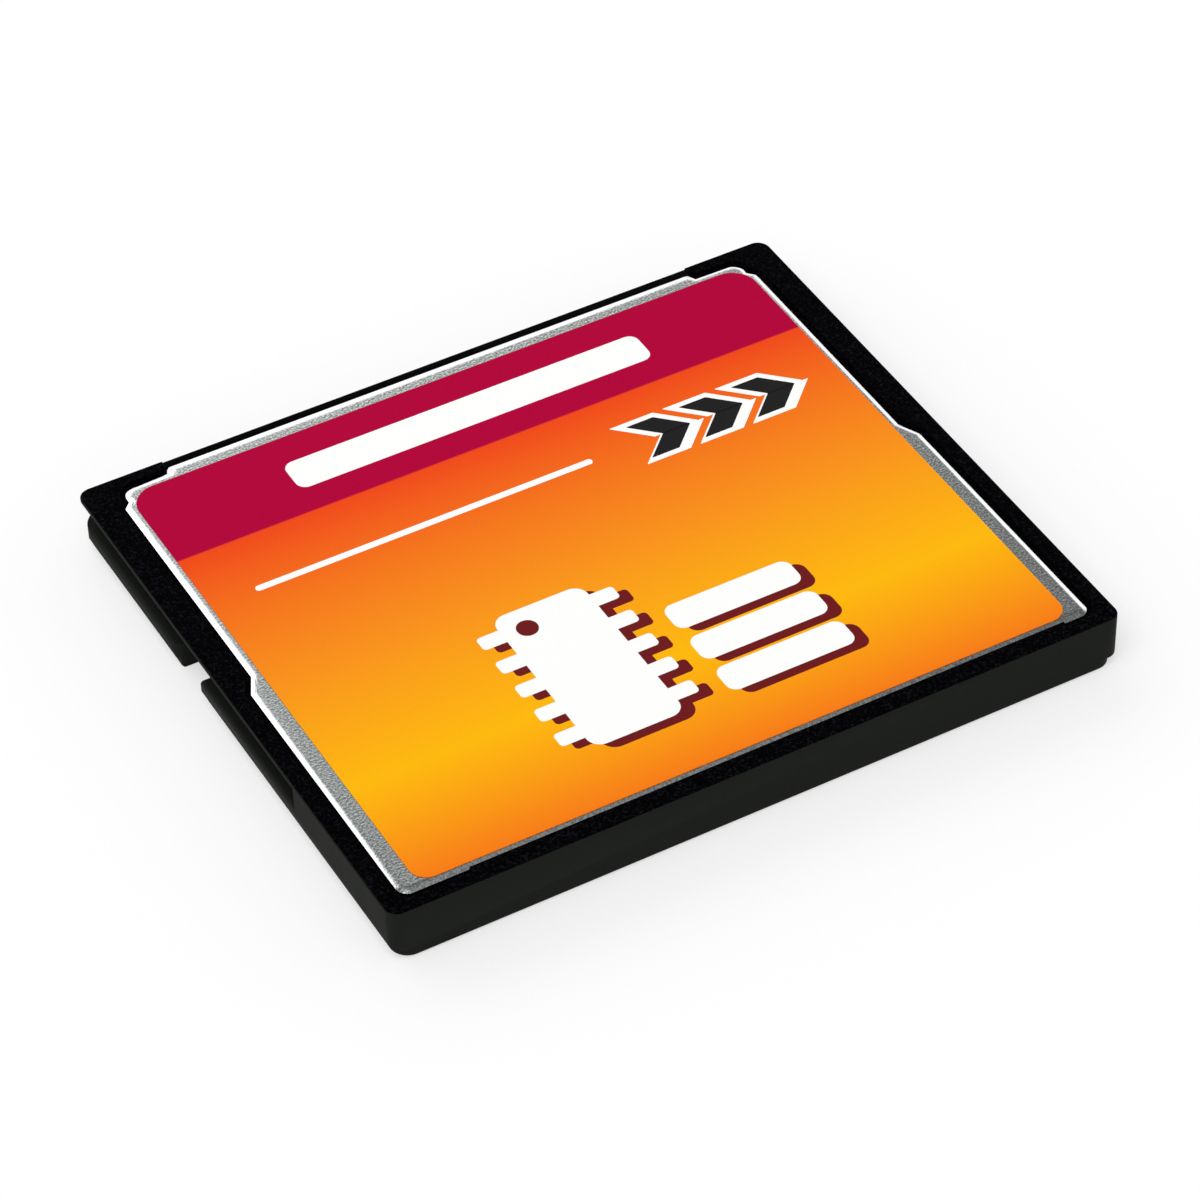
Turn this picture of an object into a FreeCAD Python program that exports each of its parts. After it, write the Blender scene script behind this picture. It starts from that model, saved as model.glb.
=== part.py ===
import FreeCAD, Part
import math
import os

from FreeCAD import Vector

# Memory card, label side up. All sizes in millimetres.
# X runs across the card, Y runs towards the connector edge, Z is up.
# The origin is the middle of the underside.

# Whole card
card_width = 42.8
card_length = 36.4
card_thickness = 3.3
corner_radius = 0.75
top_chamfer = 0.05
cut_margin = 1.0

# Frame: narrower sole, guide slots beside the card and the notches through their rails
sole_inset = 0.32
sole_height = 0.63
sole_corner_radius = 1.0
sole_chamfer = 0.12
rail_thickness = 1.01
rail_edge_radius = 0.2
rail_lower_radius = 0.4
rail_nose_radius = 1.5
slot_length = 25.78
slot_depth = 0.95
slot_wall = 0.2
left_flange = 0.2
right_flange = 0.5
notch_start = 12.0
notch_width = 3.0
notch_depth = 1.5
notch_mouth_radius = 0.6
border_width = 0.25
border_depth = 0.2
rear_lip_thickness = 0.08
rear_lip_reach = 0.05
rear_lip_left = 16.4
rear_lip_right = 18.5

# Covers: sheet with a crowned rim, wider in its rear half, with a tongue over the connector
# and an insulating film inside
sheet = 0.2
rim_width = 0.3
rim_drop = 0.12
rim_blend_radius = 0.5
rim_straight = 0.26
cover_clearance = 0.05
cover_rear_margin = 1.15
cover_rear_radius = 0.65
side_step = 0.6
side_step_start = 17.5
side_step_length = 1.2
ear_step = 0.4
ear_start = 2.05
ear_radius = 0.8
ear_straight = 0.1
tongue_margin = 0.5
tongue_step = 0.5
tongue_lean = 0.25
shelf_width = 0.45
film_thickness = 0.05
film_margin = 0.4
tab_width = 3.0
tab_depth = 0.9
tab_clearance = 0.05
side_tab_from_rear = 6.0
rear_tab_from_middle = 10.0

# Label
label_thickness = 0.05
label_side_margin = 0.5
label_front_margin = 0.6
label_rear_margin = 0.35
label_front_radius = 1.5
label_rear_radius = 1.0

# Connector: two rows of square entries on one pitch
contact_count = 25
contact_pitch = 1.27
row_spacing = 1.27
entry_size = 0.62
funnel_size = 0.95
funnel_depth = 0.45
end_wall = 1.01
housing_depth = 6.0
housing_clearance = 0.05
lip_drop = 0.1
lip_chamfer = 0.1
key_reach = 1.0
key_width = 2.0
key_from_front = 3.0
key_floor = 0.9
contact_recess = 1.1
contact_width = 0.4
contact_clearance = 0.01
beam_thickness = 0.13
beam_length = 2.9
tail_thickness = 0.15
tail_reach = 0.7
foot_length = 1.0

# Board and the rests that carry it in the frame
board_thickness = 0.5
board_side_gap = 0.5
board_rear_gap = 0.5
board_front_gap = 0.3
rest_overlap = 0.6
rest_length = 2.2
front_rest_from_front = 11.0

# Chips
standoff = 0.1
chip_headroom = 0.07
chip_edge_chamfer = 0.08
lead_thickness = 0.13
flash_width = 12.0
flash_length = 18.4
flash_lead_reach = 0.8
flash_lead_count = 24
flash_lead_pitch = 0.5
flash_lead_width = 0.22
flash_foot = 0.5
flash_side_margin = 2.0
flash_rear_margin = 1.8
controller_side = 10.0
controller_lead_reach = 1.0
controller_lead_count = 11
controller_lead_pitch = 0.8
controller_lead_width = 0.35
controller_foot = 0.6
controller_side_margin = 4.0
controller_rear_margin = 6.0

# Small parts on the board
capacitor_length = 1.0
capacitor_width = 0.5
capacitor_height = 0.5
capacitor_terminal = 0.2
capacitor_count = 6
capacitor_spacing = 1.6
resistor_length = 1.0
resistor_width = 0.5
resistor_height = 0.35
resistor_terminal = 0.2
resistor_count = 4
resistor_spacing = 1.6
small_part_row_gap = 0.8
regulator_front_leads = 3
regulator_rear_leads = 2
regulator_width = 2.9
regulator_depth = 1.6
regulator_lead_reach = 0.6
regulator_lead_width = 0.4
regulator_lead_pitch = 0.95
regulator_foot = 0.35
regulator_side_margin = 2.0
regulator_rear_margin = 1.4

# Levels and places that follow from the sizes above
card_half = card_width / 2
front = card_length / 2
rear = -card_length / 2
middle = card_thickness / 2
slot_floor = sole_height + rail_thickness
rim_depth = rim_drop + rim_straight
cover_top = card_thickness - label_thickness
frame_top = cover_top
upper_seat = cover_top - rim_depth
lower_seat = rim_depth
cover_rear_half = card_half - slot_depth - slot_wall - cover_clearance
cover_front_half = cover_rear_half - side_step
cover_rear = rear + cover_rear_margin
tongue_front = front - tongue_margin
shoulder = tongue_front - tongue_step
side_step_front = front - side_step_start
side_step_rear = side_step_front - side_step_length
housing_half = (contact_count - 1) * contact_pitch / 2 + end_wall
housing_rear = front - housing_depth
tongue_tip_half = housing_half - cover_clearance
tongue_root_half = tongue_tip_half + tongue_lean
ear_half = cover_front_half - ear_step
ear_rear = front - ear_start - ear_step
ear_corner = min(ear_radius, ear_half - tongue_root_half - ear_straight)
key_front = front - key_from_front
key_rear = key_front - key_width
cavity_rear = cover_rear + shelf_width
cavity_front_half = cover_front_half - shelf_width
cavity_rear_half = cover_rear_half - shelf_width
board_half = cavity_front_half - board_side_gap
board_rear = cavity_rear + board_rear_gap
board_front = housing_rear - board_front_gap
board_top = middle + board_thickness / 2
board_bottom = middle - board_thickness / 2
film_bottom = cover_top - sheet - film_thickness
chip_thickness = film_bottom - board_top - standoff - chip_headroom
upper_row = middle + row_spacing / 2
foot_front = housing_rear - tail_reach
foot_rear = foot_front - foot_length
side_tab_middle = rear + side_tab_from_rear
small_part_row = foot_rear - small_part_row_gap


def box(x0, x1, y0, y1, z0, z1):
    """Block between two corners, given as pairs along each axis."""
    return Part.makeBox(x1 - x0, y1 - y0, z1 - z0, Vector(x0, y0, z0))


def grown(corners, distance):
    """Moves each side of an anticlockwise outline outwards. Round corners open to suit, sharp ones stay."""
    sides = []
    for index, (x, y, _) in enumerate(corners):
        next_x, next_y, _ = corners[(index + 1) % len(corners)]
        length = math.hypot(next_x - x, next_y - y)
        along_x = (next_x - x) / length
        along_y = (next_y - y) / length
        sides.append((x + along_y * distance, y - along_x * distance, along_x, along_y))
    moved = []
    for index, (_, _, radius) in enumerate(corners):
        px, py, ux, uy = sides[index - 1]
        qx, qy, vx, vy = sides[index]
        turn = ux * vy - uy * vx
        reach = ((qx - px) * vy - (qy - py) * vx) / turn
        new_radius = max(radius + distance * math.copysign(1, turn), 0)
        moved.append((px + ux * reach, py + uy * reach, new_radius if radius > 0 else 0))
    return moved


def outline(corners):
    """Closed wire of straight sides and round corners, from points with a radius each."""
    starts = []
    ends = []
    arcs = []
    for index, (x, y, radius) in enumerate(corners):
        corner = Vector(x, y, 0)
        before = Vector(*corners[index - 1][:2], 0)
        after = Vector(*corners[(index + 1) % len(corners)][:2], 0)
        arriving = (corner - before).normalize()
        leaving = (after - corner).normalize()
        half_turn = arriving.getAngle(leaving) / 2
        inwards = (leaving - arriving).normalize()
        start = corner - arriving * radius * math.tan(half_turn)
        end = corner + leaving * radius * math.tan(half_turn)
        starts.append(start)
        ends.append(end)
        if radius > 0:
            waist = corner + inwards * radius * (1 / math.cos(half_turn) - 1)
            arcs.append(Part.Arc(start, waist, end).toShape())
    lines = [Part.LineSegment(ends[index - 1], starts[index]).toShape() for index in range(len(corners))]
    return Part.Wire(Part.__sortEdges__(lines + arcs))


def prism(corners, z0, z1):
    """Upright block of an outline between two heights."""
    block = Part.Face(outline(corners)).extrude(Vector(0, 0, z1 - z0))
    return block.translated(Vector(0, 0, z0))


def frustum(lower_corners, upper_corners, z0, z1):
    """Sloping block between two like outlines at two heights."""
    lower = outline(lower_corners).translated(Vector(0, 0, z0))
    upper = outline(upper_corners).translated(Vector(0, 0, z1))
    return Part.makeLoft([lower, upper], True, True)


def edges_at(solid, height):
    """Edges of a block that lie at one height."""
    return [edge for edge in solid.Edges if all(abs(v.Z - height) < 1e-6 for v in edge.Vertexes)]


def rectangle(half, y0, y1, rear_radius, front_radius):
    """Corners of a block that is centred across the card."""
    return both_sides([(half, y0, rear_radius), (half, y1, front_radius)])


def both_sides(right_corners):
    """Whole outline from the corners of its right side, listed from the rear to the front."""
    left_corners = [(-x, y, radius) for x, y, radius in reversed(right_corners)]
    return right_corners + left_corners


def flipped(shape):
    """The same shape on the underside of the covers' common middle."""
    return shape.mirror(Vector(0, 0, cover_top / 2), Vector(0, 0, 1))


def across_board(shape):
    """The same shape on the other face of the board."""
    return shape.mirror(Vector(0, 0, middle), Vector(0, 0, 1))


def other_side(shape):
    """The same shape on the other side of the card."""
    return shape.mirror(Vector(0, 0, 0), Vector(1, 0, 0))


def swept(points, width):
    """Flat strip bent to a profile of (y, z) points, centred on X and as wide as given."""
    profile = Part.makePolygon([Vector(-width / 2, y, z) for y, z in points + points[:1]])
    return Part.Face(profile).extrude(Vector(width, 0, 0))


cover_corners = both_sides([
    (cover_rear_half, cover_rear, cover_rear_radius),
    (cover_rear_half, side_step_rear, 0),
    (cover_front_half, side_step_front, 0),
    (cover_front_half, ear_rear, 0),
    (ear_half, ear_rear + ear_step, 0),
    (ear_half, shoulder, ear_corner),
    (tongue_root_half, shoulder, 0),
    (tongue_tip_half, tongue_front, 0),
])
cavity_corners = both_sides([
    (cavity_rear_half, cavity_rear, cover_rear_radius),
    (cavity_rear_half, side_step_rear, 0),
    (cavity_front_half, side_step_front, 0),
    (cavity_front_half, housing_rear, 0),
])


# Frame
def cover_seat():
    """Space that the upper cover drops into."""
    return prism(grown(cover_corners, cover_clearance), upper_seat, card_thickness + cut_margin)


def guide_slot(flange):
    """Space of the left guide slot, below a flange and above the round edge of its rail."""
    outside = -card_half - cut_margin
    root = -card_half + slot_depth
    rail_edge = slot_floor - rail_edge_radius
    ceiling = frame_top - flange
    centre = Vector(-card_half + rail_edge_radius, 0, rail_edge)
    lean = rail_edge_radius * math.sqrt(0.5)
    arc_end = Vector(-card_half, 0, rail_edge)
    arc_waist = centre + Vector(-lean, 0, lean)
    arc_start = centre + Vector(0, 0, rail_edge_radius)
    line_points = [
        arc_end,
        Vector(outside, 0, rail_edge),
        Vector(outside, 0, ceiling),
        Vector(root, 0, ceiling),
        Vector(root, 0, slot_floor),
        arc_start,
    ]
    edges = [Part.LineSegment(a, b).toShape() for a, b in zip(line_points, line_points[1:])]
    edges.append(Part.Arc(arc_start, arc_waist, arc_end).toShape())
    profile = Part.Face(Part.Wire(Part.__sortEdges__(edges)))
    space = profile.extrude(Vector(0, slot_length + cut_margin, 0))
    return space.translated(Vector(0, front - slot_length, 0))


def rail_underside():
    """Sliver that rounds the lower edge of the left rail."""
    x1 = -card_half + rail_lower_radius
    z1 = sole_height + rail_lower_radius
    edge = box(-card_half, x1, rear, front, sole_height, z1)
    return edge.cut(Part.makeCylinder(rail_lower_radius, card_length, Vector(x1, rear, z1), Vector(0, 1, 0)))


def rail_notch():
    """Space of the notch through the left rail and the sole below it, with a round mouth at its front."""
    outside = -card_half - cut_margin
    inside = -card_half + notch_depth
    y1 = front - notch_start
    y0 = y1 - notch_width
    mouth = y1 + notch_mouth_radius + cut_margin
    corners = [
        (outside, y0, 0), (inside, y0, 0), (inside, y1, 0),
        (-card_half, y1, notch_mouth_radius), (-card_half, mouth, 0), (outside, mouth, 0),
    ]
    return prism(corners, -cut_margin, slot_floor)


def key_pocket():
    """Space beside the connector, on the right, for its locating key."""
    x1 = housing_half + key_reach + housing_clearance
    y0 = key_rear - housing_clearance
    y1 = key_front + housing_clearance
    return box(housing_half, x1, y0, y1, key_floor, card_thickness)


def tab_pockets():
    """Spaces for the tabs of the upper cover, open to the cavity."""
    half = tab_width / 2 + tab_clearance
    floor = upper_seat - tab_depth - tab_clearance
    x1 = cover_rear_half + cover_clearance
    x0 = cavity_rear_half - sheet
    side = box(x0, x1, side_tab_middle - half, side_tab_middle + half, floor, upper_seat)
    y0 = cover_rear - cover_clearance
    x_middle = rear_tab_from_middle
    back = box(x_middle - half, x_middle + half, y0, cavity_rear + sheet, floor, upper_seat)
    return [side, other_side(side), back, other_side(back)]


def rear_lip():
    """Thin lip over the rear rim of the upper cover, which hooks under it."""
    y0 = cover_rear - cover_clearance - border_width
    y1 = cover_rear + rear_lip_reach
    return box(-rear_lip_left, rear_lip_right, y0, y1, frame_top - rear_lip_thickness, frame_top)


def board_rests():
    """Ledges inside the frame that the board lies on, at its rear corners and beside the connector."""
    x0 = board_half - rest_overlap
    rear_x1 = cavity_rear_half + cover_clearance
    rear_y0 = cavity_rear - cover_clearance
    back = box(x0, rear_x1, rear_y0, cavity_rear + rest_length, lower_seat, board_bottom)
    y1 = front - front_rest_from_front
    front_x1 = cavity_front_half + cover_clearance
    fore = box(x0, front_x1, y1 - rest_length, y1, lower_seat, board_bottom)
    return [back, other_side(back), fore, other_side(fore)]


def make_frame():
    sole_half = card_half - sole_inset
    sole = prism(rectangle(sole_half, rear, front, sole_corner_radius, sole_corner_radius), 0, sole_height)
    sole = sole.makeChamfer(sole_chamfer, edges_at(sole, 0))
    rails = prism(rectangle(card_half, rear, front, corner_radius, rail_nose_radius), sole_height, slot_floor)
    upper = prism(rectangle(card_half, rear, front, corner_radius, corner_radius), slot_floor, frame_top)
    upper = upper.makeChamfer(top_chamfer, edges_at(upper, frame_top))
    body = sole.fuse([rails, upper]).removeSplitter()
    seat = cover_seat()
    border_corners = grown(cover_corners, cover_clearance + border_width)
    border = prism(border_corners, frame_top - border_depth, frame_top + cut_margin)
    cavity = prism(cavity_corners, -cut_margin, card_thickness + cut_margin)
    bay_half = housing_half + housing_clearance
    top_of_cut = card_thickness + cut_margin
    bay = box(-bay_half, bay_half, housing_rear, front + cut_margin, -cut_margin, top_of_cut)
    body = body.cut([seat, flipped(seat), border, cavity, bay])
    body = body.fuse(board_rests() + [rear_lip()])
    pockets = tab_pockets()
    pockets += [flipped(pocket) for pocket in pockets]
    keys = [key_pocket(), other_side(key_pocket())]
    notches = [rail_notch(), other_side(rail_notch())]
    roundings = [rail_underside(), other_side(rail_underside())]
    slots = [guide_slot(left_flange), other_side(guide_slot(right_flange))]
    return body.cut(pockets + keys + notches + roundings + slots).removeSplitter()


# Covers and label
def make_top_cover():
    skirt = prism(cover_corners, upper_seat, cover_top - rim_drop)
    crown = frustum(cover_corners, grown(cover_corners, -rim_width), cover_top - rim_drop, cover_top)
    crown = crown.makeFillet(rim_blend_radius, edges_at(crown, cover_top))
    shell = skirt.fuse(crown).removeSplitter()
    ceiling = cover_top - sheet
    hollow = prism(grown(cover_corners, -sheet), upper_seat - cut_margin, ceiling)
    tab_bottom = upper_seat - tab_depth
    tab_top = upper_seat + rim_straight
    half = tab_width / 2
    x1 = cover_rear_half
    side = box(x1 - sheet, x1, side_tab_middle - half, side_tab_middle + half, tab_bottom, tab_top)
    x_middle = rear_tab_from_middle
    back = box(x_middle - half, x_middle + half, cover_rear, cover_rear + sheet, tab_bottom, tab_top)
    tabs = [side, other_side(side), back, other_side(back)]
    return shell.cut(hollow).fuse(tabs).removeSplitter()


def make_film():
    """Film on the underside of the upper cover, over the board and its chips."""
    half = cavity_front_half - film_margin
    y0 = cavity_rear + film_margin
    return box(-half, half, y0, housing_rear - film_margin, film_bottom, film_bottom + film_thickness)


def make_label():
    half = cover_front_half - label_side_margin
    y0 = cover_rear + label_rear_margin
    y1 = shoulder - label_front_margin
    return prism(rectangle(half, y0, y1, label_rear_radius, label_front_radius), cover_top, card_thickness)


# Connector
def contact_columns():
    """Places of the contacts of one row, across the card."""
    first = -(contact_count - 1) * contact_pitch / 2
    return [first + index * contact_pitch for index in range(contact_count)]


def entry(x, z):
    """Square entry for one pin, with a funnel at its mouth."""
    near = entry_size / 2
    wide = funnel_size / 2
    bore = box(x - near, x + near, housing_rear - cut_margin, front + cut_margin, z - near, z + near)
    funnel = Part.makeWedge(
        x - near, front - funnel_depth, z - near, z - wide, x - wide,
        x + near, front, z + near, z + wide, x + wide)
    return [bore, funnel]


def make_housing():
    block = prism(rectangle(housing_half, housing_rear, front, 0, 0), lip_drop, card_thickness - lip_drop)
    front_edges = [edge for edge in block.Edges if all(abs(v.Y - front) < 1e-6 for v in edge.Vertexes)]
    long_edges = [edge for edge in front_edges if edge.BoundBox.XLength > housing_half]
    block = block.makeChamfer(lip_chamfer, long_edges)
    block = block.cut([cover_seat(), flipped(cover_seat())])
    key = box(housing_half, housing_half + key_reach, key_rear, key_front, key_floor, upper_seat)
    block = block.fuse([key, other_side(key)]).removeSplitter()
    entries = []
    for x in contact_columns():
        entries += entry(x, upper_row)
        entries += entry(x, card_thickness - upper_row)
    return block.cut(entries)


def contact():
    """One socket contact of the upper row: two spring beams, a root and a tail down to the board."""
    outer = entry_size / 2 - contact_clearance
    inner = outer - beam_thickness
    tip = front - contact_recess
    fork = tip - beam_length
    foot_bottom = board_top - upper_row
    points = [
        (tip, outer), (tip, inner), (fork, 0), (tip, -inner), (tip, -outer),
        (housing_rear, -outer), (foot_front, foot_bottom), (foot_rear, foot_bottom),
        (foot_rear, foot_bottom + tail_thickness), (housing_rear, tail_thickness - outer),
        (housing_rear, outer),
    ]
    return swept([(y, upper_row + z) for y, z in points], contact_width)


def make_contact_row():
    one = contact()
    return Part.makeCompound([one.translated(Vector(x, 0, 0)) for x in contact_columns()])


# Board and chips
def make_board():
    return box(-board_half, board_half, board_rear, board_front, board_bottom, board_top)


def make_package(width, length, x, y):
    """Moulded chip body with softened upper edges."""
    bottom = board_top + standoff
    top = bottom + chip_thickness
    body = box(x - width / 2, x + width / 2, y - length / 2, y + length / 2, bottom, top)
    return body.makeChamfer(chip_edge_chamfer, edges_at(body, top))


def make_leads(half, count, pitch, width, reach, foot, turns, x, y):
    """Rows of gull wing leads round a chip, one row for each turn about its middle."""
    exit_height = board_top + standoff + chip_thickness / 2
    tip = half + reach
    knee = tip - foot
    points = [
        (half, exit_height + lead_thickness / 2), (half, exit_height - lead_thickness / 2),
        (knee, board_top), (tip, board_top), (tip, board_top + lead_thickness),
        (knee + lead_thickness, board_top + lead_thickness),
    ]
    one = swept(points, width)
    leads = []
    for turn in turns:
        for index in range(count):
            lead = one.translated(Vector((index - (count - 1) / 2) * pitch, 0, 0))
            lead.rotate(Vector(0, 0, 0), Vector(0, 0, 1), turn)
            leads.append(lead.translated(Vector(x, y, 0)))
    return leads


def make_flash():
    x = board_half - flash_side_margin - flash_width / 2
    y = board_rear + flash_rear_margin + flash_length / 2
    package = make_package(flash_width, flash_length, x, y)
    leads = make_leads(
        flash_length / 2, flash_lead_count, flash_lead_pitch, flash_lead_width,
        flash_lead_reach, flash_foot, (0, 180), x, y)
    return package, Part.makeCompound(leads)


def make_controller():
    x = -board_half + controller_side_margin + controller_side / 2
    y = board_rear + controller_rear_margin + controller_side / 2
    package = make_package(controller_side, controller_side, x, y)
    leads = make_leads(
        controller_side / 2, controller_lead_count, controller_lead_pitch, controller_lead_width,
        controller_lead_reach, controller_foot, (0, 90, 180, 270), x, y)
    return package, Part.makeCompound(leads)


def make_regulator():
    x = -board_half + regulator_side_margin + regulator_width / 2
    y = board_rear + regulator_rear_margin + regulator_depth / 2
    bottom = board_top + standoff
    half_width = regulator_width / 2
    half_depth = regulator_depth / 2
    top = bottom + chip_thickness
    package = box(x - half_width, x + half_width, y - half_depth, y + half_depth, bottom, top)
    fore = make_leads(
        half_depth, regulator_front_leads, regulator_lead_pitch, regulator_lead_width,
        regulator_lead_reach, regulator_foot, (0,), x, y)
    back = make_leads(
        half_depth, regulator_rear_leads, 2 * regulator_lead_pitch, regulator_lead_width,
        regulator_lead_reach, regulator_foot, (180,), x, y)
    return package, Part.makeCompound(fore + back)


def make_small_parts(count, spacing, length, width, height, terminal, start_x, y):
    """Row of chip capacitors or resistors, as their bodies and their plated ends."""
    bodies = []
    terminals = []
    for index in range(count):
        x = start_x + index * spacing
        x0 = x - width / 2
        x1 = x + width / 2
        y1 = y - length
        top = board_top + height
        bodies.append(box(x0, x1, y1 + terminal, y - terminal, board_top, top))
        terminals.append(box(x0, x1, y - terminal, y, board_top, top))
        terminals.append(box(x0, x1, y1, y1 + terminal, board_top, top))
    return Part.makeCompound(bodies), Part.makeCompound(terminals)


def make_capacitors():
    return make_small_parts(
        capacitor_count, capacitor_spacing, capacitor_length, capacitor_width, capacitor_height,
        capacitor_terminal, -board_half + controller_side_margin, small_part_row)


def make_resistors():
    bodies, terminals = make_small_parts(
        resistor_count, resistor_spacing, resistor_length, resistor_width, resistor_height,
        resistor_terminal, -board_half + controller_side_margin, small_part_row)
    return across_board(bodies), across_board(terminals)


top_cover = make_top_cover()
upper_contacts = make_contact_row()
upper_film = make_film()
flash_package, flash_leads = make_flash()
controller_package, controller_leads = make_controller()
regulator_package, regulator_leads = make_regulator()
capacitor_bodies, capacitor_terminals = make_capacitors()
resistor_bodies, resistor_terminals = make_resistors()

nodes = {
    "frame": make_frame(),
    "top_cover": top_cover,
    "bottom_cover": flipped(top_cover),
    "upper_film": upper_film,
    "lower_film": flipped(upper_film),
    "front_label": make_label(),
    "connector_housing": make_housing(),
    "upper_contacts": upper_contacts,
    "lower_contacts": across_board(upper_contacts),
    "circuit_board": make_board(),
    "controller_package": controller_package,
    "controller_leads": controller_leads,
    "flash_package": flash_package,
    "flash_leads": flash_leads,
    "regulator_package": regulator_package,
    "regulator_leads": regulator_leads,
    "capacitor_bodies": capacitor_bodies,
    "capacitor_terminals": capacitor_terminals,
    "resistor_bodies": resistor_bodies,
    "resistor_terminals": resistor_terminals,
}

os.makedirs("parts", exist_ok=True)
for name, shape in nodes.items():
    shape.exportStep(f"parts/{name}.step")
    print(name, len(shape.Solids), "solids, valid", shape.isValid(), "volume", round(shape.Volume, 3))
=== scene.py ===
# %% [markdown]
# # A memory card, dressed in Blender
#
# The card is a black moulded frame with a pressed steel cover on each face, a printed label on
# the upper cover and a socket connector along one edge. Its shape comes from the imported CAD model,
# which is loaded first and never changed. This lesson gives it clean edges, finishes and print.
# Blender works in metres here, so sizes in millimetres are multiplied by `MM`.

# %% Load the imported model
import math

import bmesh
import bpy
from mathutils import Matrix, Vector


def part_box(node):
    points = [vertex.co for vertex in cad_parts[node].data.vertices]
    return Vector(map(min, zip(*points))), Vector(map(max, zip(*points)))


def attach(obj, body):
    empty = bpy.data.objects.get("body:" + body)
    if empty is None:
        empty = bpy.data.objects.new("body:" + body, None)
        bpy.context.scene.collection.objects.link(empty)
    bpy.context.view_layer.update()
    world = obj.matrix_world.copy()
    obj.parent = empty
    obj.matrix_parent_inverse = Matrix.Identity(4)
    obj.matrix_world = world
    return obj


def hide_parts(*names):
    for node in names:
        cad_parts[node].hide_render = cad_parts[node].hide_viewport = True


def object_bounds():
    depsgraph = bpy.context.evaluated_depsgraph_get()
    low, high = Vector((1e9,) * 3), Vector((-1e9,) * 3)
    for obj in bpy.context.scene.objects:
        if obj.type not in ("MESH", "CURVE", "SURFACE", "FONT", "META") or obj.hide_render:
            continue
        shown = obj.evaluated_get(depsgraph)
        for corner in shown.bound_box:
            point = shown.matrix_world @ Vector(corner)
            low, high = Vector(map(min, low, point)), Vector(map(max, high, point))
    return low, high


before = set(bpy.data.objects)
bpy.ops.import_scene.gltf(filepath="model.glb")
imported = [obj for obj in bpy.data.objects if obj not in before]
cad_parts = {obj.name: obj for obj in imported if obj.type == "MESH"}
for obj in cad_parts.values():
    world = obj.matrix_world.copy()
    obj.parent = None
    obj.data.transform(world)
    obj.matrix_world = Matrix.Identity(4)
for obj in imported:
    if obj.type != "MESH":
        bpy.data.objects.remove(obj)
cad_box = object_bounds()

MM = 0.001
scene = bpy.context.scene
scene.view_settings.view_transform = "Standard"
print("card size in mm:", [round((high - low) / MM, 2) for low, high in zip(*cad_box)])

# %% [markdown]
# ## Camera
#
# A photograph of a flat box with a known size gives its camera away: the four top corners and the
# height of a wall fix its place, its turn and its focal length. The values below came from such a
# fit. The lens is long, so the far edge of the card is only a little shorter than the near edge.

# %% Camera
lens_length = 144.919
camera_place = (-89.863, -165.867, 173.738)
camera_turn = (47.3316, 0.9423, -29.4491)
camera_data = bpy.data.cameras.new("camera")
camera_data.sensor_width = 36
camera_data.lens = lens_length
camera_data.clip_start = 1 * MM
camera = bpy.data.objects.new("camera", camera_data)
camera.location = Vector(camera_place) * MM
camera.rotation_euler = [math.radians(angle) for angle in camera_turn]
scene.collection.objects.link(camera)
scene.camera = camera
print("camera distance in mm:", round(camera.location.length / MM))

# %% [markdown]
# ## Small helpers
#
# Colours are written as the hex values that a paint program shows. Shaders count in linear light,
# so one function converts them. `fill` gives a node's sockets their values or links, and `add`
# makes a node and fills it, with stops if it is a colour ramp. A material could also be drawn by
# hand in the shader editor, but written down like this it can be read, repeated and changed.


# %% Colour and node helpers
def linear(hex_colour):
    """Linear RGBA of an sRGB hex colour such as #C01040."""
    parts = [int(hex_colour[start:start + 2], 16) / 255 for start in (1, 3, 5)]
    light = [part / 12.92 if part <= 0.04045 else ((part + 0.055) / 1.055) ** 2.4 for part in parts]
    return (*light, 1.0)


def fill(node, inputs):
    """Give a node's sockets their values, or link them to the sockets they are handed."""
    for key, value in inputs.items():
        if isinstance(value, bpy.types.NodeSocket):
            node.id_data.links.new(value, node.inputs[key])
        else:
            node.inputs[key].default_value = value


def add(tree, kind, inputs=None, stops=(), **settings):
    """A new node with its properties, its inputs and, if it is a colour ramp, its stops."""
    node = tree.nodes.new(kind)
    for name, value in settings.items():
        setattr(node, name, value)
    fill(node, inputs or {})
    for order, (position, colour) in enumerate(stops):
        elements = node.color_ramp.elements
        stop = elements[order] if order < 2 else elements.new(position)
        stop.position = position
        stop.color = colour
    return node


def start_material(name):
    """A new material, its node tree, its shader and the object's own coordinates."""
    material = bpy.data.materials.new(name)
    material.use_nodes = True
    tree = material.node_tree
    place = add(tree, "ShaderNodeTexCoord").outputs["Object"]
    return material, tree, tree.nodes["Principled BSDF"], place


print("crimson in linear light:", [round(part, 3) for part in linear("#B00039")])

# %% [markdown]
# ## Studio: a light tent
#
# The card lies in something like a light tent: the walls near the floor glow white and the roof is
# dimmer. That is why its black sides look lighter than its black top, and why the rolled steel
# edges turn white. An environment image could do this, but a world that fades from a white horizon
# to a grey roof is enough and needs no file. The glow rises again at the top of the tent, where the
# steel rim that leans towards the camera finds its reflection.

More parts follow.
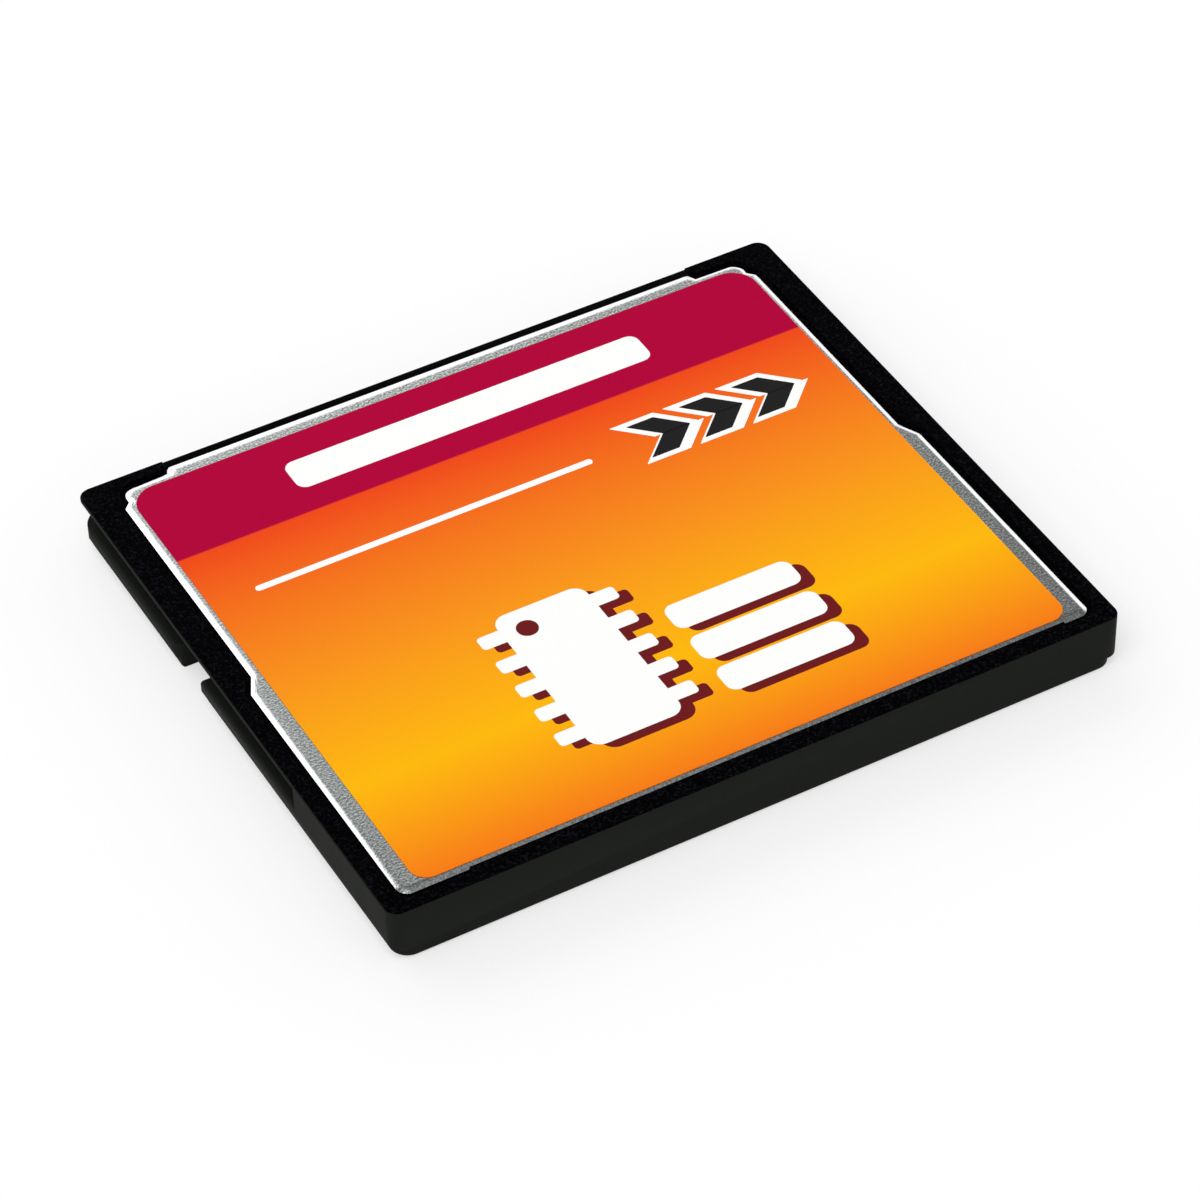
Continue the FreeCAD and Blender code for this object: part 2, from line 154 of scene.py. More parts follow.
# %% World
# The first four values are heights in the sky, from 0 at the horizon to 1 overhead.
wall_top = 0.45
roof_start = 0.62
roof_end = 0.84
tent_top = 0.93
wall_glow = (1.0, 1.0, 1.0, 1.0)
roof_glow = (0.22, 0.22, 0.22, 1.0)
top_glow = (0.45, 0.45, 0.45, 1.0)
world = bpy.data.worlds.new("light_tent")
scene.world = world
world.use_nodes = True
tree = world.node_tree
direction = add(tree, "ShaderNodeTexCoord").outputs["Generated"]
sky_height = add(tree, "ShaderNodeSeparateXYZ", {"Vector": direction}).outputs["Z"]
tent = add(tree, "ShaderNodeValToRGB", {"Fac": sky_height}, stops=[
    (wall_top, wall_glow), (roof_start, roof_glow), (roof_end, roof_glow), (tent_top, top_glow)])
fill(tree.nodes["Background"], {"Color": tent.outputs["Color"]})
print("tent walls are white up to", round(math.degrees(math.asin(wall_top))), "degrees")

# %% [markdown]
# ## Studio: two lamps
#
# One wide soft sun from the camera's left adds the rest of the light. A softbox stands behind the
# card, where the flat steel of the far and left sides mirrors it and the flat of the right side
# just misses it. Flat steel shows what stands opposite, so the edges of this lamp decide how
# bright each strip of the cover is.


# %% Sun and softbox
def hang_lamp(lamp_data, place):
    """Hang a lamp at a place in metres, turned to shine on the card."""
    lamp = bpy.data.objects.new(lamp_data.name, lamp_data)
    lamp.location = place
    lamp.rotation_euler = lamp.location.to_track_quat("Z", "Y").to_euler()
    scene.collection.objects.link(lamp)
    print(lamp_data.name, "hangs", round(lamp.location.length, 2), "m away")


sun_place = (-0.4, -0.25, 0.88)
sun_data = bpy.data.lights.new("soft_sun", "SUN")
sun_data.energy = 1.49
sun_data.angle = math.radians(50)
hang_lamp(sun_data, sun_place)

softbox_place = (-0.155, 0.798, 0.582)
softbox_data = bpy.data.lights.new("back_softbox", "AREA")
softbox_data.shape = "RECTANGLE"
softbox_data.size = 1.33
softbox_data.size_y = 0.52
softbox_data.energy = 2.27
hang_lamp(softbox_data, softbox_place)

# %% [markdown]
# ## Studio: the floor
#
# The floor is a sheet of white paper. A white surface under this light would look pale grey, so
# half of what the camera and the steel see of it is a glow of its own. The other half is lit paper,
# which keeps the card's shadow. More light would whiten the floor too, but would bleach the card.

# %% Floor
floor_half = 3.0
glow_share = 0.5
floor_corners = [(-floor_half, -floor_half, 0), (floor_half, -floor_half, 0),
                 (floor_half, floor_half, 0), (-floor_half, floor_half, 0)]
floor_mesh = bpy.data.meshes.new("floor")
floor_mesh.from_pydata(floor_corners, [], [(0, 1, 2, 3)])
floor = bpy.data.objects.new("floor", floor_mesh)
scene.collection.objects.link(floor)

# Uncoated paper is matte and even, so the eye takes it for endless ground.
paper, tree, shader = start_material("white_paper")[:3]
fill(shader, {"Base Color": linear("#FFFFFF"), "Roughness": 0.9, "Specular IOR Level": 0.0})
rays = add(tree, "ShaderNodeLightPath").outputs
mirrored = add(tree, "ShaderNodeMath", {
    0: rays["Is Glossy Ray"], 1: rays["Is Transmission Ray"]}, operation="MAXIMUM")
seen = add(tree, "ShaderNodeMath", {
    0: rays["Is Camera Ray"], 1: mirrored.outputs["Value"]}, operation="MAXIMUM")
backlight = add(tree, "ShaderNodeMath", {0: seen.outputs["Value"], 1: glow_share}, operation="MULTIPLY")
glow = add(tree, "ShaderNodeEmission", {"Color": linear("#FFFFFF"), "Strength": 1.0})
lit_paper = add(tree, "ShaderNodeMixShader", {
    0: backlight.outputs["Value"], 1: shader.outputs["BSDF"], 2: glow.outputs["Emission"]})
fill(tree.nodes["Material Output"], {"Surface": lit_paper.outputs["Shader"]})
floor_mesh.materials.append(paper)
print("floor is", 2 * floor_half, "m wide")

# %% [markdown]
# ## Clean copies of the solids
#
# A CAD solid arrives as loose triangles with hard edges. A copy can be merged, its flat faces
# dissolved back to single faces, its round stretches shaded smooth and its sharp edges softened by
# a fine bevel, because no moulded or stamped edge is truly sharp and the thin highlights along
# edges tell the eye how the piece was made. Smooth shading would bend light across a whole flat
# that borders on a round, so a broad flat can get a narrow ring of faces inside its edge, and only
# the ring turns. The copy then stands for the solid.

# %% A clean copy of a solid
card_middle = (cad_box[0][2] + cad_box[1][2]) / 2
broad_area = 100 * MM * MM
broad_level = 0.999
merge_distance = 0.0005 * MM
flat_angle = math.radians(0.5)


def is_broad_outer_flat(face):
    """Whether a face is a large level one that looks away from the card's middle."""
    outward = face.normal.z * (face.calc_center_median().z - card_middle) > 0
    return abs(face.normal.z) > broad_level and outward and face.calc_area() > broad_area


def clean_copy(node, materials, bevel=0.0, blend=0.0, smooth_angle=30):
    """A merged copy of a CAD node that stands for it, its bevel and its ring of blend in mm."""
    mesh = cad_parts[node].data.copy()
    mesh.name = node + "_dressed"
    mesh.materials.clear()
    for material in materials:
        mesh.materials.append(material)
    work = bmesh.new()
    work.from_mesh(mesh)
    bmesh.ops.remove_doubles(work, verts=work.verts, dist=merge_distance)
    bmesh.ops.dissolve_limit(work, angle_limit=flat_angle, verts=work.verts, edges=work.edges)
    if blend:
        outer_flats = [face for face in work.faces if is_broad_outer_flat(face)]
        bmesh.ops.inset_region(work, faces=outer_flats, thickness=blend * MM, use_even_offset=True)
    for face in work.faces:
        face.smooth = True
        face.material_index = 0
    work.to_mesh(mesh)
    work.free()
    mesh.set_sharp_from_angle(angle=math.radians(smooth_angle))
    piece = bpy.data.objects.new(mesh.name, mesh)
    scene.collection.objects.link(piece)
    if bevel:
        soften = piece.modifiers.new("soft_edges", "BEVEL")
        soften.width = bevel * MM
        soften.segments = 2
        soften.limit_method = "ANGLE"
        soften.angle_limit = math.radians(smooth_angle)
        soften.harden_normals = True
    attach(piece, "root")
    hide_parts(node)
    print(node, "copied with", len(mesh.polygons), "faces")
    return piece


# %% [markdown]
# ## Frame: black polyester, moulded
#
# The mould's upper face was spark eroded, which leaves a fine matte grain that swallows light. The
# outer walls and the guide slots drew off smooth steel, so they are satin and catch the white
# surroundings, and that sheen is painted into their colour, which is lighter than the black top.
# The frame is one moulding, so it stays one piece with two finishes. They could be mixed by a
# painted mask, but each face has one finish, so its place and direction choose it.

# %% Spark eroded top finish
# The grain scatters every reflection, so the eye sees a deep black with a faint cool sparkle. Its
# paler specks in the colour are partly grain tone and partly painted glints.
# A real spark grain is a few hundredths of a millimetre. It is drawn coarser here, so that it shows.
moulded_grain, tree, shader, place = start_material("spark_textured_polyester")
grain_size = 0.16 * MM
grain_depth = 0.03 * MM
grain = add(tree, "ShaderNodeTexNoise", {
    "Vector": place, "Scale": 1 / grain_size, "Detail": 3.0, "Roughness": 0.6})
grain_and_glints = add(tree, "ShaderNodeValToRGB", {"Fac": grain.outputs["Fac"]}, stops=[
    (0.5, linear("#000001")), (0.78, linear("#18181F"))])
relief = add(tree, "ShaderNodeBump", {
    "Height": grain.outputs["Fac"], "Strength": 0.35, "Distance": grain_depth})
fill(shader, {
    "Base Color": grain_and_glints.outputs["Color"], "Normal": relief.outputs["Normal"],
    "Roughness": 0.62, "Specular IOR Level": 0.01})
print("grain size in mm:", grain_size / MM)

# %% Satin wall finish with a painted sheen
# Smooth walls give broad soft reflections that wander a little where the melt flowed and set.
# Their grey colour, lighter than the black top, is a painted sheen of the white surroundings.
sheen_painted_wall, tree, shader, place = start_material("satin_polyester_painted_sheen")
flow_size = 1.4 * MM
flow_depth = 0.05 * MM
flow = add(tree, "ShaderNodeTexNoise", {"Vector": place, "Scale": 1 / flow_size, "Detail": 4.0})
sheen = add(tree, "ShaderNodeMapRange", {"Value": flow.outputs["Fac"], "To Min": 0.38, "To Max": 0.52})
orange_peel = add(tree, "ShaderNodeBump", {
    "Height": flow.outputs["Fac"], "Strength": 0.08, "Distance": flow_depth})
# This base colour is lighter than the top's black because it holds a painted sheen.
fill(shader, {
    "Base Color": linear("#1D1F1C"), "Specular IOR Level": 0.01,
    "Roughness": sheen.outputs["Result"], "Normal": orange_peel.outputs["Normal"]})
print("flow marks about", flow_size / MM, "mm apart")

# %% Dress the frame
# A face is level if the Z of its normal passes `level`, and it looks back towards the card's middle
# if the X of its normal points that way by more than `inward_least`.
frame_piece = clean_copy("frame", [sheen_painted_wall, moulded_grain], bevel=0.05)
frame_low, frame_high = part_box("frame")
side_reach = 1.05 * MM
end_reach = 0.315 * MM
slot_depth_least = 0.5 * MM
level = 0.9
inward_least = 0.3
for polygon in frame_piece.data.polygons:
    place_x, place_y, place_z = polygon.center
    beside = frame_high.x - abs(place_x) < side_reach
    behind = place_y - frame_low.y < end_reach
    ahead = frame_high.y - place_y < end_reach
    inward = polygon.normal.x * math.copysign(1, place_x) < -inward_least
    outer_wall = (beside or behind or ahead) and not inward and abs(polygon.normal.z) < level
    slot_floor = beside and polygon.normal.z > level and place_z < frame_high.z - slot_depth_least
    # Outer walls and slot floors take the lighter colour with its painted sheen.
    polygon.material_index = 0 if outer_wall or slot_floor else 1
print("textured faces:", sum(polygon.material_index for polygon in frame_piece.data.polygons))

# %% [markdown]
# ## Covers: stainless sheet, bead blasted
#
# The flat of each cover was blasted with fine glass beads, which leaves a mottled grey of tiny
# dents. The rim was rolled over in the press, and the roll burnished it, so it mirrors the white
# walls as a thin bright line. That line is also painted into the rim's colour as a near white
# highlight, brightest on the right and connector edges and hardly there on the rear one. Two
# materials would meet in a hard line, so one material reads the slope of the sheet and how far
# the rim has dropped, and fades from blasted to burnished.

# %% Where the steel is burnished and a highlight is painted
# Blasted stainless looks soft and mottled, and burnished stainless looks white and crisp.
# A level face starts at 1. A face that leans, or lies lower on the rim, has less, and the side weights
# take more away on the right and connector edges and give some back on the others, which paints a
# brighter highlight on the rims that these lamps catch and a dimmer one on the left and rear. The steel
# turns burnished, with its painted highlight, as what is left falls from `blasted_at` to `burnished_at`.
cover_steel, tree, shader, place = start_material("bead_blasted_stainless")
rim_drop = 0.12 * MM
rim_weight = 0.1
# Painted highlight: these weights brighten the right and connector rims and dim the left and rear ones.
lit_side_weights = (0.2, 0.5, 0.0)
burnished_at = 0.94
blasted_at = 0.994
flat_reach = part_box("top_cover")[1].z - card_middle
facing = add(tree, "ShaderNodeTexCoord").outputs["Normal"]
slope = add(tree, "ShaderNodeSeparateXYZ", {"Vector": facing}).outputs["Z"]
upright = add(tree, "ShaderNodeMath", {0: slope}, operation="ABSOLUTE")
lit_side = add(tree, "ShaderNodeVectorMath", {0: facing, 1: lit_side_weights}, operation="DOT_PRODUCT")
lean = add(tree, "ShaderNodeMath", {
    0: upright.outputs["Value"], 1: lit_side.outputs["Value"]}, operation="SUBTRACT")
above = add(tree, "ShaderNodeSeparateXYZ", {"Vector": place}).outputs["Z"]
height = add(tree, "ShaderNodeMath", {0: above, 1: card_middle}, operation="SUBTRACT")
reach = add(tree, "ShaderNodeMath", {0: height.outputs["Value"]}, operation="ABSOLUTE")
rolled = add(tree, "ShaderNodeMapRange", {
    "Value": reach.outputs["Value"], "From Min": flat_reach - rim_drop, "From Max": flat_reach,
    "To Min": rim_weight, "To Max": 0.0})
turned = add(tree, "ShaderNodeMath", {
    0: lean.outputs["Value"], 1: rolled.outputs["Result"]}, operation="SUBTRACT")
burnish_and_highlight = add(tree, "ShaderNodeMapRange", {
    "Value": turned.outputs["Value"], "From Min": burnished_at, "From Max": blasted_at,
    "To Min": 1.0, "To Max": 0.0}).outputs["Result"]
print("rim drops", round(rim_drop / MM, 2), "mm from a flat", round(flat_reach / MM, 2), "mm off the middle")

# %% Dents and shine of the steel
# Real bead dents are a few hundredths of a millimetre. They are drawn coarser here, so that the
# mottle shows. Inputs 6 and 7 of a Mix node are its two colours, and output 2 is what they make.
dent_size = 0.13 * MM
dent_depth = 0.03 * MM
dents = add(tree, "ShaderNodeTexNoise", {
    "Vector": place, "Scale": 1 / dent_size, "Detail": 2.0, "Roughness": 0.55})
mottle = add(tree, "ShaderNodeValToRGB", {"Fac": dents.outputs["Fac"]}, stops=[
    (0.3, linear("#7E8482")), (0.72, linear("#CCD0CE"))])
# The near white of the rim is partly burnished steel and partly a painted highlight.
tint = add(tree, "ShaderNodeMix", {
    0: burnish_and_highlight, 6: mottle.outputs["Color"], 7: linear("#FBFBFB")}, data_type="RGBA")
polish = add(tree, "ShaderNodeMapRange", {"Value": burnish_and_highlight, "To Min": 0.2, "To Max": 0.05})
depth = add(tree, "ShaderNodeMapRange", {"Value": burnish_and_highlight, "To Min": 0.55, "To Max": 0.04})
dimples = add(tree, "ShaderNodeBump", {
    "Height": dents.outputs["Fac"], "Strength": depth.outputs["Result"], "Distance": dent_depth})
fill(shader, {
    "Base Color": tint.outputs[2], "Roughness": polish.outputs["Result"],
    "Normal": dimples.outputs["Normal"], "Metallic": 1.0})
print("dents in mm:", dent_size / MM)

# %% Dress the covers
for node in ("top_cover", "bottom_cover"):
    cover = clean_copy(node, [cover_steel], blend=0.2)

# %% [markdown]
# ## Label: printed polyester film
#
# The label is a crimson band over a field that runs from orange through amber and back. Its
# colours depend only on the distance from the connector edge, so a colour ramp along Y draws them,
# and stays sharp at any size where an image would blur. The raised ink of the next step has to
# stay within the height of the solid, so the film is lowered by the thickness of the ink.

# %% Printed field
# The film is matte: a glossy one would veil these deep colours with the white of the tent.
printed_film, tree, shader, place = start_material("matte_printed_film")
label_low, label_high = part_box("front_label")
band_start = 10.4 * MM
band_softness = 0.002
band_edge = (band_start - label_low.y) / (label_high.y - label_low.y)
along = add(tree, "ShaderNodeSeparateXYZ", {"Vector": place}).outputs["Y"]
share = add(tree, "ShaderNodeMapRange", {
    "Value": along, "From Min": label_low.y, "From Max": label_high.y})
field = add(tree, "ShaderNodeValToRGB", {"Fac": share.outputs["Result"]}, stops=[
    (0.0, linear("#F67B16")), (0.22, linear("#FDB809")), (0.5, linear("#F78E1B")),
    (band_edge, linear("#EF4818")), (band_edge + band_softness, linear("#B00039")),
    (1.0, linear("#B00039"))])
fill(shader, {"Base Color": field.outputs["Color"], "Roughness": 0.5, "Specular IOR Level": 0.02})
print("band starts at", round(band_edge, 3), "of the label")

# %% Dress the label
label = clean_copy("front_label", [printed_film])
ink_thickness = 0.012 * MM
film_top = label_high.z - ink_thickness
for vertex in label.data.vertices:
    vertex.co.z = min(vertex.co.z, film_top)
print("film top in mm:", round(film_top / MM, 3))

# %% [markdown]
# ## Print: screen printed marks
#
# The marks are plain generic shapes: a blank writing strip, a thin rule, three chevrons,
# and a chip beside a stack of bars with a dark drop shadow. Screen ink stands about a hundredth of
# a millimetre proud of the film, so each mark is a thin solid. Nearly all of them are one leaning
# rounded bar, repeated in a row, which is what Geometry Nodes do well: one tree makes the bar,
# places it along a line and gives it its ink.

# %% A node tree for a row of printed bars
corner_points = 8
row_tree = bpy.data.node_groups.new("printed_row", "GeometryNodeTree")
row_inputs = {
    "Count": "NodeSocketInt", "Start": "NodeSocketVector", "Step": "NodeSocketVector",
    "Width": "NodeSocketFloat", "Height": "NodeSocketFloat", "Lean": "NodeSocketFloat",
    "Corner": "NodeSocketFloat", "Thickness": "NodeSocketFloat", "Ink": "NodeSocketMaterial",
}
row_sockets = {}
for name, kind in row_inputs.items():
    row_sockets[name] = row_tree.interface.new_socket(name, in_out="INPUT", socket_type=kind).identifier
row_tree.interface.new_socket("Geometry", in_out="OUTPUT", socket_type="NodeSocketGeometry")
given = add(row_tree, "NodeGroupInput").outputs
bar = add(row_tree, "GeometryNodeCurvePrimitiveQuadrilateral", mode="PARALLELOGRAM", inputs={
    "Width": given["Width"], "Height": given["Height"], "Offset": given["Lean"]})
rounded = add(row_tree, "GeometryNodeFilletCurve", mode="POLY", inputs={
    "Curve": bar.outputs["Curve"], "Radius": given["Corner"], "Count": corner_points})
flat = add(row_tree, "GeometryNodeFillCurve", {"Curve": rounded.outputs["Curve"]}, mode="NGONS")
raised = add(row_tree, "GeometryNodeExtrudeMesh", {
    "Mesh": flat.outputs["Mesh"], "Offset Scale": given["Thickness"]})
underside = add(row_tree, "GeometryNodeFlipFaces", {"Mesh": flat.outputs["Mesh"]})
solid = add(row_tree, "GeometryNodeJoinGeometry", {"Geometry": raised.outputs["Mesh"]})
fill(solid, {"Geometry": underside.outputs["Mesh"]})
line = add(row_tree, "GeometryNodeMeshLine", {
    "Count": given["Count"], "Start Location": given["Start"], "Offset": given["Step"]})
spread = add(row_tree, "GeometryNodeInstanceOnPoints", {
    "Points": line.outputs["Mesh"], "Instance": solid.outputs["Geometry"]})
whole = add(row_tree, "GeometryNodeRealizeInstances", {"Geometry": spread.outputs["Instances"]})
inked = add(row_tree, "GeometryNodeSetMaterial", {
    "Geometry": whole.outputs["Geometry"], "Material": given["Ink"]})
add(row_tree, "NodeGroupOutput", {"Geometry": inked.outputs["Geometry"]})
print("row tree has", len(row_tree.nodes), "nodes")


# %% Printing a row
def printed_row(ink, layer, count=1, start=(0, 0), step=(0, 0), width=1, height=1, lean=0, corner=0.1):
    """Mesh of a row of bars, with its sizes in mm and its ink as thick as its layer says."""
    values = {
        "Count": count, "Start": (start[0] * MM, start[1] * MM, film_top),
        "Step": (step[0] * MM, step[1] * MM, 0.0),
        "Width": width * MM, "Height": height * MM, "Lean": lean * MM,
        "Corner": corner * MM, "Thickness": ink_thickness * layer, "Ink": ink,
    }
    carrier = bpy.data.objects.new("row", bpy.data.meshes.new("row"))
    scene.collection.objects.link(carrier)
    rows = carrier.modifiers.new("printed_row", "NODES")
    rows.node_group = row_tree
    for name, value in values.items():
        rows[row_sockets[name]] = value
    mesh = bpy.data.meshes.new_from_object(carrier.evaluated_get(bpy.context.evaluated_depsgraph_get()))
    bpy.data.objects.remove(carrier)
    return mesh


def printed_piece(name, ink, meshes):
    """One piece of the label from the rows of one ink."""
    work = bmesh.new()
    for mesh in meshes:
        work.from_mesh(mesh)
    joined = bpy.data.meshes.new(name)
    work.to_mesh(joined)
    work.free()
    joined.materials.append(ink)
    piece = bpy.data.objects.new(name, joined)
    scene.collection.objects.link(piece)
    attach(piece, "root")
    print(name, "has", len(joined.polygons), "faces")
    return piece


# %% Inks
# Screen ink is thick and opaque. The mesh of the screen leaves a faint relief in it, so the eye
# sees flat strong colour without a hard highlight.
def screen_ink(name, hex_colour):
    """Opaque matte ink with the faint mesh of the screen in it."""
    ink, tree, shader, place = start_material(name)
    mesh_size = 0.12 * MM
    mesh_depth = 0.01 * MM
    weave = add(tree, "ShaderNodeTexNoise", {"Vector": place, "Scale": 1 / mesh_size, "Detail": 1.0})
    relief = add(tree, "ShaderNodeBump", {
        "Height": weave.outputs["Fac"], "Strength": 0.05, "Distance": mesh_depth})
    fill(shader, {
        "Base Color": linear(hex_colour), "Normal": relief.outputs["Normal"],
        "Roughness": 0.5, "Specular IOR Level": 0.1})
    print(name, "is", hex_colour)
    return ink


white_ink = screen_ink("white_screen_ink", "#FDFDFB")
maroon_ink = screen_ink("maroon_screen_ink", "#6B0A0E")
black_ink = screen_ink("black_screen_ink", "#141214")

# %% Layers of ink
# Each layer is a share of the full thickness, so that one ink lies over another. Marks of one ink
# that cross lie a little apart in height, because two faces in one plane would flicker.
shadow_layer = 0.3
white_layer = 0.6
top_layer = 1.0
layer_gap = 0.05
white_rows = []
maroon_rows = []
black_rows = []
print("ink thickness in mm:", round(ink_thickness / MM, 3))

# %% Writing strip and rule
writing_strip = {"start": (0.0, 13.4), "width": 21.8, "height": 2.3, "corner": 0.6}
thin_rule = {"start": (-6.4, 6.4), "width": 20.2, "height": 0.42, "corner": 0.2}
for mark in (writing_strip, thin_rule):
    white_rows.append(printed_row(white_ink, white_layer, **mark))
print("strip and rule are", writing_strip["width"], "and", thin_rule["width"], "mm wide")

# %% Chevrons
# A chevron is two arms that lean opposite ways. The black arms overlap a little at the point, and
# wider white arms below them make the edging. An arm leans by about 45 degrees, so its edging is
# about half as wide again when it is measured along X.
chevron_row = {"count": 3, "step": (3.3, 0), "corner": 0.03}
chevron_start = 8.2
chevron_middle = 6.4
chevron_width = 1.7
chevron_lean = 1.5
half_height = 1.45
edging = 0.34
edging_along_x = 1.5 * edging
arm_overlap = 0.02
arm_height = half_height + arm_overlap
wide_height = half_height + edging
wide_width = chevron_width + 2 * edging_along_x
for side in (1, -1):
    lean = -chevron_lean * side
    arm_middle = chevron_middle + side * (arm_height / 2 - arm_overlap)
    arm_lean = lean * arm_height / half_height
    black_rows.append(printed_row(
        black_ink, top_layer, start=(chevron_start, arm_middle), width=chevron_width,
        height=arm_height, lean=arm_lean, **chevron_row))
    wide_middle = chevron_middle + side * wide_height / 2
    wide_lean = lean * wide_height / half_height
    wide_start = chevron_start + (wide_lean - lean) / 2
    white_rows.append(printed_row(
        white_ink, white_layer, start=(wide_start, wide_middle), width=wide_width,
        height=wide_height, lean=wide_lean, **chevron_row))
print("chevrons are", 2 * half_height, "mm high")

# %% Chip and bars with their drop shadow
# The dot is a square whose corners are rounded by nearly half its width.
shadow_shift = (0.55, -0.55)
chip_middle = (-4.37, -7.4)
chip_size = (5.4, 11.0)
pin_reach = 1.35
pin_width = 1.0
pin_pitch = 2.05
pins_a_side = 5
first_pin = chip_middle[1] - (pins_a_side - 1) / 2 * pin_pitch
dot_middle = (chip_middle[0] - 1.3, chip_middle[1] + 4.0)
chip = {"start": chip_middle, "width": chip_size[0], "height": chip_size[1], "corner": 0.8}
bars = {"start": (4.8, -11.93), "width": 7.6, "height": 1.95, "corner": 0.6,
        "count": 3, "step": (0, 2.67)}
pins = {"start": (chip_middle[0], first_pin), "width": chip_size[0] + 2 * pin_reach, "height": pin_width,
        "corner": 0.25, "count": pins_a_side, "step": (0, pin_pitch)}
dot = {"start": dot_middle, "width": 1.2, "height": 1.2, "corner": 0.59}
for order, mark in enumerate((chip, bars, pins)):
    under = layer_gap * order
    shifted = (mark["start"][0] + shadow_shift[0], mark["start"][1] + shadow_shift[1])
    white_rows.append(printed_row(white_ink, white_layer - under, **mark))
    maroon_rows.append(printed_row(maroon_ink, shadow_layer - under, **{**mark, "start": shifted}))
maroon_rows.append(printed_row(maroon_ink, top_layer, **dot))
print("chip has", 2 * pins_a_side, "pins")

# %% One piece for each ink
printed_piece("white_print", white_ink, white_rows)
printed_piece("shadow_print", maroon_ink, maroon_rows)
printed_piece("black_print", black_ink, black_rows)

# %% [markdown]
# ## Connector and contacts
#
# The connector block is moulded from a liquid crystal polymer, whose short glass fibres lie along
# the flow. The contacts in its entries are spring bronze with a thin gold plate. Every entry and
# contact is already a solid, so the shapes stay as they are and only the finishes are made here.

# %% Connector plastic
# The fibres streak the matte black very faintly along the block. A real fibre is about a hundredth
# of a millimetre thick. The streaks are drawn coarser here, so that they show.
socket_plastic, tree, shader, place = start_material("liquid_crystal_polymer")
fibre_size = 0.3 * MM
flow_stretch = (0.3, 1.0, 1.0)
stretched = add(tree, "ShaderNodeMapping", {"Vector": place, "Scale": flow_stretch})
fibres = add(tree, "ShaderNodeTexNoise", {
    "Vector": stretched.outputs["Vector"], "Scale": 1 / fibre_size, "Detail": 3.0})
streaks = add(tree, "ShaderNodeValToRGB", {"Fac": fibres.outputs["Fac"]}, stops=[
    (0.0, linear("#020203")), (1.0, linear("#0A0A0B"))])
fill(shader, {"Base Color": streaks.outputs["Color"], "Roughness": 0.55, "Specular IOR Level": 0.02})
print("fibre streaks in mm:", fibre_size / MM)

# %% Gold plate
# Gold gives a warm gleam in the dark entries, duller where pins have wiped it.
gold_plate, tree, shader, place = start_material("gold_plated_bronze")
wipe_size = 0.2 * MM
wipes = add(tree, "ShaderNodeTexNoise", {"Vector": place, "Scale": 1 / wipe_size, "Detail": 2.0})
lustre = add(tree, "ShaderNodeMapRange", {"Value": wipes.outputs["Fac"], "To Min": 0.2, "To Max": 0.4})
fill(shader, {
    "Base Color": linear("#E8B85A"), "Roughness": lustre.outputs["Result"], "Metallic": 1.0})
print("wipe marks in mm:", wipe_size / MM)

# %% Dress the connector
housing = clean_copy("connector_housing", [socket_plastic])
for node in ("upper_contacts", "lower_contacts"):
    contacts = clean_copy(node, [gold_plate])

# %% [markdown]
# ## Inside the card
#
# The board, its chips and its small parts are closed in, but a card may be shown opened, so each
# gets the finish of the real thing: solder mask over copper, moulded epoxy, matte tin, fired
# ceramic and amber insulating film. Their solids are right as they are and only need materials.
# The plain ones differ only in colour, grain and shine, so one function makes them all.

# %% Solder mask
# The mask is a glossy green lacquer, paler where copper runs under it, so the eye reads tracks.
solder_mask, tree, shader, place = start_material("green_solder_mask")
track_pitch = 0.5 * MM
bands_a_metre = 0.31 / track_pitch
runs = add(tree, "ShaderNodeTexWave", {
    "Vector": place, "Scale": bands_a_metre, "Distortion": 6.0, "Detail": 1.0})
copper = add(tree, "ShaderNodeValToRGB", {"Fac": runs.outputs["Fac"]}, stops=[
    (0.55, linear("#0E3F25")), (0.62, linear("#1B6B3C"))])
fill(shader, {"Base Color": copper.outputs["Color"], "Roughness": 0.3})
print("tracks in mm:", track_pitch / MM)


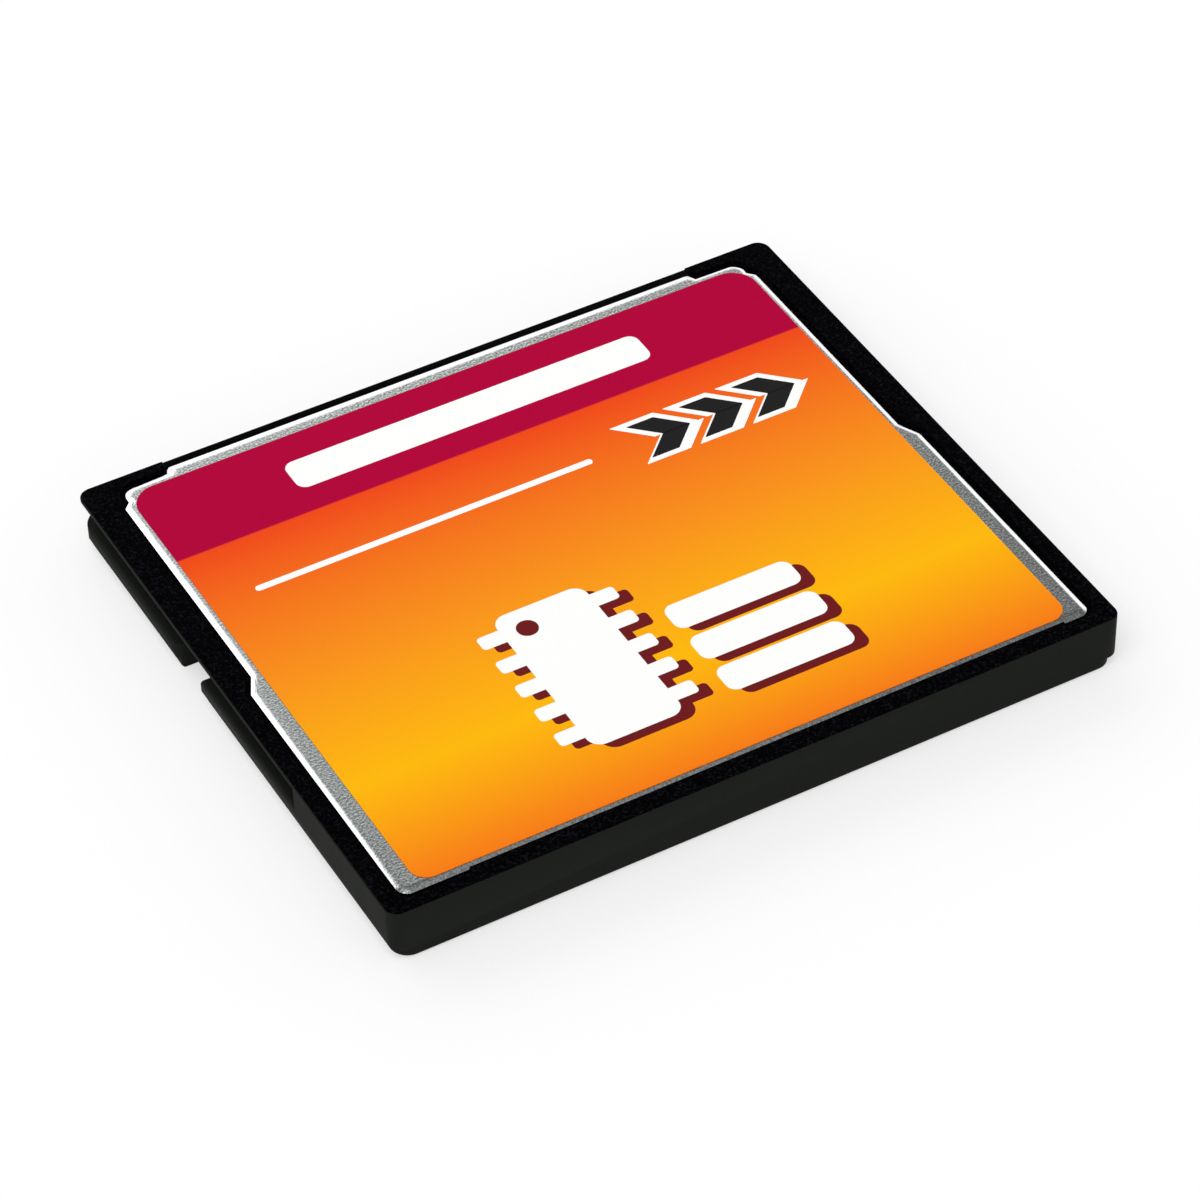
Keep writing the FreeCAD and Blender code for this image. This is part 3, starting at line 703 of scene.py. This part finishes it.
# %% Grainy finishes
def grainy(name, dark, pale, size, roughness, metallic=0.0):
    """A finish whose colour wanders between two tones at one grain size in mm."""
    material, tree, shader, place = start_material(name)
    grain_depth = 0.02 * MM
    noise = add(tree, "ShaderNodeTexNoise", {"Vector": place, "Scale": 1 / (size * MM), "Detail": 3.0})
    tones = add(tree, "ShaderNodeValToRGB", {"Fac": noise.outputs["Fac"]}, stops=[
        (0.3, linear(dark)), (0.7, linear(pale))])
    relief = add(tree, "ShaderNodeBump", {
        "Height": noise.outputs["Fac"], "Strength": 0.15, "Distance": grain_depth})
    fill(shader, {
        "Base Color": tones.outputs["Color"], "Normal": relief.outputs["Normal"],
        "Roughness": roughness, "Metallic": metallic})
    print(name, "has a grain of", size, "mm")
    return material


# These grains are coarser than the real ones, so that they show.
# Moulded epoxy is a charcoal grey, dull from the filler in it.
moulded_epoxy = grainy("moulded_epoxy", "#1A1A1C", "#2A2A2C", 0.2, 0.6)
# Matte tin is a pale, slightly cloudy metal without a mirror.
matte_tin = grainy("matte_tin", "#B4B4B0", "#D2D2CE", 0.15, 0.4, 1.0)
# The ceramic of a capacitor is an even tan with a faint speckle.
tan_ceramic = grainy("barium_titanate_ceramic", "#8E6A46", "#A8835C", 0.1, 0.5)
# The glaze over a resistor is black and a little shiny.
black_ceramic = grainy("glazed_alumina", "#1C1C1E", "#26262A", 0.1, 0.35)
# Polyimide film is amber and smooth, with a slow drift of tone.
amber_film = grainy("polyimide_film", "#A8621A", "#BC7426", 1.5, 0.3)

# %% Dress the inside
inner_finishes = {
    solder_mask: ["circuit_board"],
    moulded_epoxy: ["controller_package", "flash_package", "regulator_package"],
    matte_tin: ["controller_leads", "flash_leads", "regulator_leads",
                "capacitor_terminals", "resistor_terminals"],
    tan_ceramic: ["capacitor_bodies"],
    black_ceramic: ["resistor_bodies"],
    amber_film: ["upper_film", "lower_film"],
}
for finish, nodes in inner_finishes.items():
    for node in nodes:
        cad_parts[node].material_slots[0].material = finish
print("inner nodes dressed:", sum(len(nodes) for nodes in inner_finishes.values()))
